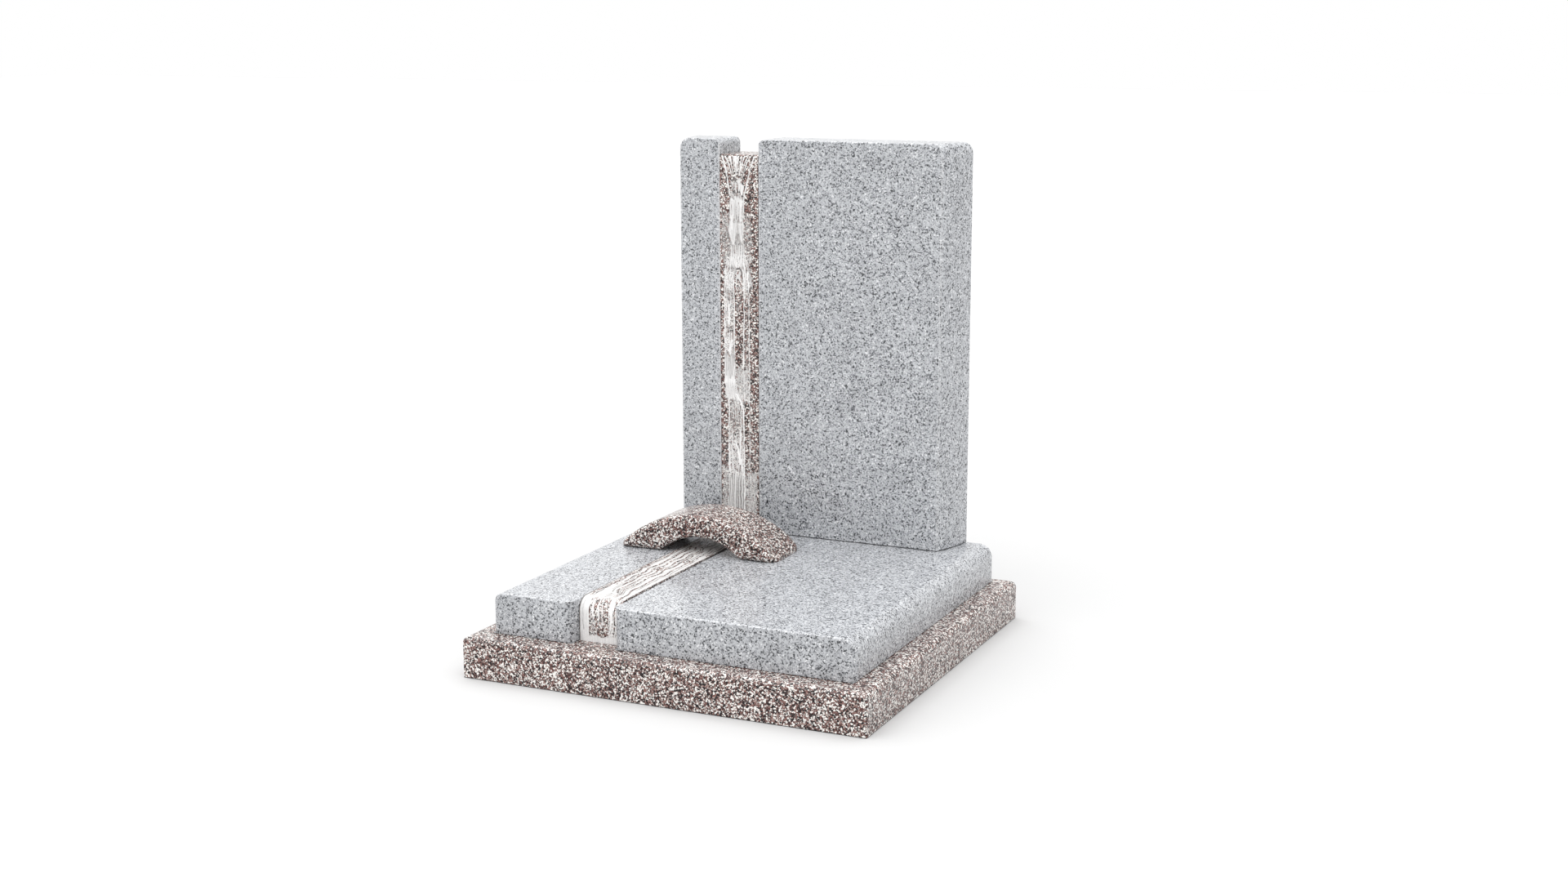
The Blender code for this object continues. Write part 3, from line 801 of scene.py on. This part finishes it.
def make_strip(name, node, radius, back_radius, carve, material):
    """A strip of stone whose face follows its path, cut by the carving's depth."""
    low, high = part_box(node)
    path = strip_path(low.y, high.y, low.z, high.z, radius, back_radius)
    steps = np.hypot(np.diff(path[:, 0]), np.diff(path[:, 1]))
    along = np.concatenate([[0.0], np.cumsum(steps)])
    across = np.linspace(low.x, high.x, STRIP_COLUMNS + 1)
    middle = (low.x + high.x) / 2
    grid_along, grid_across = np.meshgrid(along, across - middle, indexing="ij")
    carving = carve(grid_across, grid_along)
    depth = np.minimum(carving.depth, 0.0)
    points = np.empty(depth.shape + (3,))
    points[..., 0] = across
    points[..., 1] = path[:, None, 0] + path[:, None, 2] * depth
    points[..., 2] = path[:, None, 1] + path[:, None, 3] * depth

    bm = bmesh.new()
    frost = bm.verts.layers.float.new("frost")
    white = bm.verts.layers.float.new("white")
    rows = []
    for row, row_frost, row_white in zip(points, carving.frost, carving.white):
        verts = [bm.verts.new(point) for point in row]
        for vert, vert_frost, vert_white in zip(verts, row_frost, row_white):
            vert[frost] = vert_frost
            vert[white] = vert_white
        rows.append(verts)
    for lower, upper in zip(rows, rows[1:]):
        for column in range(STRIP_COLUMNS):
            bm.faces.new((lower[column], lower[column + 1], upper[column + 1], upper[column]))
    heel = [bm.verts.new((low.x, high.y, low.z)), bm.verts.new((high.x, high.y, low.z))]
    bm.faces.new([row[0] for row in rows] + [heel[0]])
    bm.faces.new([row[-1] for row in rows] + [heel[1]])
    bm.faces.new(rows[-1] + [heel[1], heel[0]])
    bm.faces.new(rows[0] + [heel[1], heel[0]])
    add_piece(name, node, mesh_of(name, bm), material)


# Materials


class Nodes:
    """Short calls for building a material's nodes."""

    def __init__(self, name):
        self.material = bpy.data.materials.new(name)
        self.material.use_nodes = True
        self.tree = self.material.node_tree
        self.shader = self.tree.nodes["Principled BSDF"]

    def add(self, kind, settings=None, inputs=None):
        node = self.tree.nodes.new(kind)
        for key, value in (settings or {}).items():
            setattr(node, key, value)
        for key, value in (inputs or {}).items():
            self.give(node.inputs[key], value)
        return node

    def give(self, socket, value):
        """Link a socket, or set the input's own value."""
        if isinstance(value, bpy.types.NodeSocket):
            self.tree.links.new(value, socket)
        else:
            socket.default_value = value

    def math(self, operation, *values):
        node = self.add("ShaderNodeMath", {"operation": operation})
        for socket, value in zip(node.inputs, values):
            self.give(socket, value)
        return node.outputs[0]

    def vector(self, operation, first, second):
        node = self.add("ShaderNodeVectorMath", {"operation": operation})
        self.give(node.inputs[0], first)
        self.give(node.inputs["Scale" if operation == "SCALE" else 1], second)
        return node.outputs[0]

    def mix(self, factor, first, second, blend="MIX"):
        node = self.add("ShaderNodeMix", {"data_type": "RGBA", "blend_type": blend})
        self.give(node.inputs[0], factor)
        self.give(node.inputs[6], first)
        self.give(node.inputs[7], second)
        return node.outputs[2]

    def ramp(self, factor, stops, interpolation="CONSTANT"):
        """A colour ramp of (position, colour) stops."""
        node = self.add("ShaderNodeValToRGB", {}, {"Fac": factor})
        ramp = node.color_ramp
        ramp.interpolation = interpolation
        while len(ramp.elements) < len(stops):
            ramp.elements.new(1.0)
        for element, (position, colour) in zip(ramp.elements, stops):
            element.position = position
            element.color = (*colour, 1.0)
        return node.outputs[0]

    def noise(self, vector, scale, detail=2.0):
        inputs = {"Vector": vector, "Scale": scale, "Detail": detail}
        return self.add("ShaderNodeTexNoise", {}, inputs).outputs["Fac"]

    def centred(self, value, reach):
        """The value from 0 to 1, moved to run from minus to plus half the reach."""
        return self.math("MULTIPLY", self.math("SUBTRACT", value, 0.5), reach)

    def attribute(self, name):
        return self.add("ShaderNodeAttribute", {"attribute_name": name}).outputs["Fac"]


def grey_ramp(nodes, factor, places, low, high):
    """Plain greys, from low at the first place to high at the second."""
    return nodes.ramp(factor, [(places[0], (low,) * 3), (places[1], (high,) * 3)], "LINEAR")


# Ragged borders of the crystals: scale of the noise against theirs, and its reach
CRYSTAL_WARP = 1.6
CRYSTAL_JAG = 0.9


def crystals(nodes, place, drift, scale, stops):
    """Crystals: one flat tone each from the ramp, with ragged borders. The drift makes
    light ones commoner in one place and dark ones in another. Gives their colour, and a
    number that picks some of them out."""
    warp = nodes.add("ShaderNodeTexNoise", {}, {
        "Vector": place, "Scale": scale * CRYSTAL_WARP, "Detail": 1.0})
    centred = nodes.vector("SUBTRACT", warp.outputs["Color"], (0.5, 0.5, 0.5))
    ragged = nodes.vector("ADD", place, nodes.vector("SCALE", centred, CRYSTAL_JAG / scale))
    cells = nodes.add("ShaderNodeTexVoronoi", {}, {"Vector": ragged, "Scale": scale})
    tone = nodes.add("ShaderNodeSeparateColor", {}, {"Color": cells.outputs["Color"]})
    return nodes.ramp(nodes.math("ADD", tone.outputs[0], drift), stops), tone.outputs[1]


# Clouds in the granite: detail of their noise, and where in it they are dark and light
CLOUD_DETAIL = 3.0
CLOUD_BORDER = (0.3, 0.7)


def granite_colour(nodes, shift, coarse, fine, drift, flecks, fleck_share, clouds):
    """Crystals of two sizes with flecks over them, and soft clouds of light and dark."""
    object_place = nodes.add("ShaderNodeTexCoord").outputs["Object"]
    place = nodes.vector("ADD", object_place, shift)
    lean = nodes.centred(nodes.noise(place, drift["scale"]), drift["reach"])
    big, choice = crystals(nodes, place, lean, coarse["scale"], coarse["stops"])
    small, fleck_choice = crystals(nodes, place, lean, fine["scale"], fine["stops"])
    colour = nodes.mix(nodes.math("GREATER_THAN", choice, 1 - fine["share"]), big, small)
    is_fleck = nodes.math("LESS_THAN", fleck_choice, fleck_share)
    colour = nodes.mix(is_fleck, colour, flecks)
    cloud = nodes.noise(place, clouds["scale"], CLOUD_DETAIL)
    low, high = clouds["range"]
    light = grey_ramp(nodes, cloud, CLOUD_BORDER, low, high)
    return nodes.mix(1.0, colour, light, "MULTIPLY"), cloud


# Each granite: coarse and fine crystals, whose stops say from which number on they have
# which colour, then the drift, flecks and clouds, and how strongly its polish shines
GREY_GRANITE = {
    "coarse": {"scale": 290.0, "stops": [
        (0.00, (0.035, 0.038, 0.043)), (0.11, (0.16, 0.168, 0.183)), (0.22, (0.40, 0.41, 0.435)),
        (0.45, (0.55, 0.565, 0.59)), (0.93, (0.80, 0.81, 0.83))]},
    "fine": {"scale": 480.0, "share": 0.35, "stops": [
        (0.00, (0.07, 0.074, 0.083)), (0.20, (0.36, 0.37, 0.39)), (0.48, (0.56, 0.575, 0.60)),
        (0.90, (0.76, 0.77, 0.79))]},
    "drift": {"scale": 40.0, "reach": 0.12},
    "flecks": (0.07, 0.075, 0.085, 1.0),
    "fleck_share": 0.05,
    "clouds": {"scale": 14.0, "range": (0.80, 0.89)},
}
GREY_SPECULAR = 0.8
PINK_GRANITE = {
    "coarse": {"scale": 300.0, "stops": [
        (0.00, (0.010, 0.007, 0.007)), (0.31, (0.095, 0.042, 0.036)),
        (0.45, (0.220, 0.113, 0.098)), (0.62, (0.36, 0.260, 0.232)), (0.72, (0.88, 0.855, 0.82))]},
    "fine": {"scale": 490.0, "share": 0.28, "stops": [
        (0.00, (0.024, 0.018, 0.018)), (0.28, (0.195, 0.107, 0.096)), (0.60, (0.43, 0.355, 0.325)),
        (0.77, (0.83, 0.80, 0.765))]},
    "drift": {"scale": 38.0, "reach": 0.50},
    "flecks": (0.025, 0.02, 0.02, 1.0),
    "fleck_share": 0.06,
    "clouds": {"scale": 12.0, "range": (0.84, 0.97)},
}
PINK_SPECULAR = 0.35

# Polish, its faint unevenness as strength and height, and the edges of the blocks: the
# arrises get a painted highlight, and the grooves round the feet painted dark shade
POLISH_ROUGHNESS = (0.16, 0.26)
POLISH_BUMP = (0.04, 0.0005)
PAINTED_EDGE_HIGHLIGHT = (0.66, 0.66, 0.67, 1.0)
ARRIS_HIGHLIGHT_STRENGTH = 0.65
PAINTED_FOOT_SHADE = (0.03, 0.03, 0.03, 1.0)
FOOT_SHADE_STRENGTH = 0.85

# Frosted stone, between its grey and its white, with a little of the granite in it
FROST_WHITE = (0.97, 0.965, 0.96, 1.0)
FROST_GREY = (0.15, 0.14, 0.135, 1.0)
FROST_BORDER = (0.38, 0.62)
FROST_GRANITE = 0.07
CARVED_ROUGHNESS = (0.22, 0.78)
# Noise that breaks up the frost: streaks along the fall, round specks, and fine grit
STREAK_SCALE = (620.0, 40.0, 40.0)
STREAK_REACH = 0.9
STREAK_WHITE = 0.4
SPECK_SCALE = 360.0
SPECK_REACH = 1.3
GRIT_SCALE = 900.0
GRIT_BORDER = (0.35, 0.65)
GRIT_TONE = 0.94
GRIT_BUMP = (0.25, 0.0004)


def finish_surface(nodes, colour, varied_by, roughness, bump, height):
    """Give the shader its colour, a roughness that varies, and a bump."""
    rough = nodes.add("ShaderNodeMapRange", {}, {
        "Value": varied_by, "To Min": roughness[0], "To Max": roughness[1]})
    relief = nodes.add("ShaderNodeBump", {}, {
        "Strength": bump[0], "Distance": bump[1], "Height": height})
    nodes.give(nodes.shader.inputs["Base Color"], colour)
    nodes.give(nodes.shader.inputs["Roughness"], rough.outputs[0])
    nodes.give(nodes.shader.inputs["Normal"], relief.outputs[0])
    return nodes.material


def polished_stone(name, kind, shift, specular=GREY_SPECULAR):
    """Polished granite, with a polish that varies a little from place to place."""
    nodes = Nodes(name)
    colour, cloud = granite_colour(nodes, shift, **kind)
    nodes.give(nodes.shader.inputs["Specular IOR Level"], specular)
    # Painted highlight on the arris faces
    edge_highlight = nodes.math("MULTIPLY", nodes.attribute("arris_highlight"), ARRIS_HIGHLIGHT_STRENGTH)
    colour = nodes.mix(edge_highlight, colour, PAINTED_EDGE_HIGHLIGHT)
    # Painted shade in the grooves round the feet
    shaded = nodes.math("MULTIPLY", nodes.attribute("groove"), FOOT_SHADE_STRENGTH)
    colour = nodes.mix(shaded, colour, PAINTED_FOOT_SHADE)
    return finish_surface(nodes, colour, cloud, POLISH_ROUGHNESS, POLISH_BUMP, cloud)


def carved_stone(name, kind, shift):
    """Polished granite where the frost attribute is 0, frosted white where it is 1."""
    nodes = Nodes(name)
    colour = granite_colour(nodes, shift, **kind)[0]
    place = nodes.add("ShaderNodeTexCoord").outputs["Object"]
    grit = nodes.noise(place, GRIT_SCALE)
    streaks = nodes.noise(nodes.vector("MULTIPLY", place, STREAK_SCALE), 1.0)
    streak_lean = nodes.centred(streaks, STREAK_REACH)
    speck_lean = nodes.centred(nodes.noise(place, SPECK_SCALE), SPECK_REACH)
    lean = nodes.math("ADD", streak_lean, speck_lean)
    fringe = nodes.math("ADD", nodes.attribute("frost"), lean)
    frost = grey_ramp(nodes, fringe, FROST_BORDER, 0.0, 1.0)
    streak_tone = nodes.math("MULTIPLY", streak_lean, STREAK_WHITE)
    white = nodes.math("ADD", nodes.attribute("white"), streak_tone)
    chalk = nodes.mix(white, FROST_GREY, FROST_WHITE)
    faded = nodes.mix(FROST_GRANITE, chalk, colour)
    gritty = grey_ramp(nodes, grit, GRIT_BORDER, GRIT_TONE, 1.0)
    frosted = nodes.mix(1.0, faded, gritty, "MULTIPLY")
    height = nodes.math("MULTIPLY", grit, frost)
    return finish_surface(
        nodes, nodes.mix(frost, colour, frosted), frost, CARVED_ROUGHNESS, GRIT_BUMP, height)


# Floor, light and camera


def make_floor():
    """A pale matt floor that catches the shadows."""
    bm = bmesh.new()
    bmesh.ops.create_grid(bm, x_segments=FLOOR_SQUARES, y_segments=FLOOR_SQUARES, size=FLOOR_HALF)
    mesh = bpy.data.meshes.new("floor")
    bm.to_mesh(mesh)
    bm.free()
    nodes = Nodes("pale_floor")
    nodes.give(nodes.shader.inputs["Base Color"], (FLOOR_TONE, FLOOR_TONE, FLOOR_TONE, 1.0))
    nodes.give(nodes.shader.inputs["Roughness"], FLOOR_ROUGHNESS)
    nodes.give(nodes.shader.inputs["Specular IOR Level"], 0.0)
    mesh.materials.append(nodes.material)
    floor = bpy.data.objects.new("floor", mesh)
    bpy.context.scene.collection.objects.link(floor)


def look_at(item, place, target):
    """Put a light or camera at the place and turn it to the target."""
    item.location = place
    item.rotation_euler = (Vector(target) - Vector(place)).to_track_quat("-Z", "Y").to_euler()


def add_overhead_light():
    """A broad soft light from almost straight above."""
    light = bpy.data.lights.new("overhead", "SUN")
    light.energy = OVERHEAD_STRENGTH
    light.angle = OVERHEAD_ANGLE
    item = bpy.data.objects.new("overhead", light)
    bpy.context.scene.collection.objects.link(item)
    look_at(item, OVERHEAD_PLACE, (0, 0, 0))


def light_scene():
    """White surroundings and the light from above."""
    world = bpy.data.worlds.new("studio")
    bpy.context.scene.world = world
    bpy.context.scene.view_settings.view_transform = "Standard"
    world.use_nodes = True
    backdrop = world.node_tree.nodes["Background"]
    backdrop.inputs["Color"].default_value = (1.0, 1.0, 1.0, 1.0)
    backdrop.inputs["Strength"].default_value = WORLD_STRENGTH
    add_overhead_light()


def set_camera():
    lens = bpy.data.cameras.new("camera")
    lens.sensor_width = CAMERA_SENSOR
    lens.lens = CAMERA_LENS
    camera = bpy.data.objects.new("camera", lens)
    bpy.context.scene.collection.objects.link(camera)
    look_at(camera, CAMERA_PLACE, CAMERA_TARGET)
    camera.rotation_euler.rotate_axis("Z", CAMERA_ROLL)
    bpy.context.scene.camera = camera


set_camera()
light_scene()
make_floor()

make_base_slab(polished_stone("base_granite", PINK_GRANITE, (0.0, 0.0, 0.0), PINK_SPECULAR))
for node, inner_side, shift in (
        ("ledger_left", 1, (3.1, 0.4, 0.2)), ("ledger_right", -1, (1.7, 2.3, 0.6))):
    granite = polished_stone(f"{node}_granite", GREY_GRANITE, shift)
    make_ledger(f"{node}_stone", node, inner_side, granite)
for node, side, shift in (
        ("stele_left", -1, (0.3, 1.9, 2.8)), ("stele_right", 1, (2.2, 0.8, 1.1))):
    granite = polished_stone(f"{node}_granite", GREY_GRANITE, shift)
    make_stele_slab(f"{node}_stone", node, side, granite)
make_bridge(polished_stone("bridge_granite", PINK_GRANITE, (1.3, 2.7, 0.9), PINK_SPECULAR))
make_strip("river_stone", "river_strip", RIVER_EDGE_RADIUS, RIVER_BACK_RADIUS, carve_river,
           carved_stone("river_granite", PINK_GRANITE, (0.7, 1.1, 3.3)))
make_strip("waterfall_stone", "waterfall_strip", WATERFALL_EDGE_RADIUS, 0.0, carve_waterfall,
           carved_stone("waterfall_granite", PINK_GRANITE, (2.9, 0.2, 1.6)))
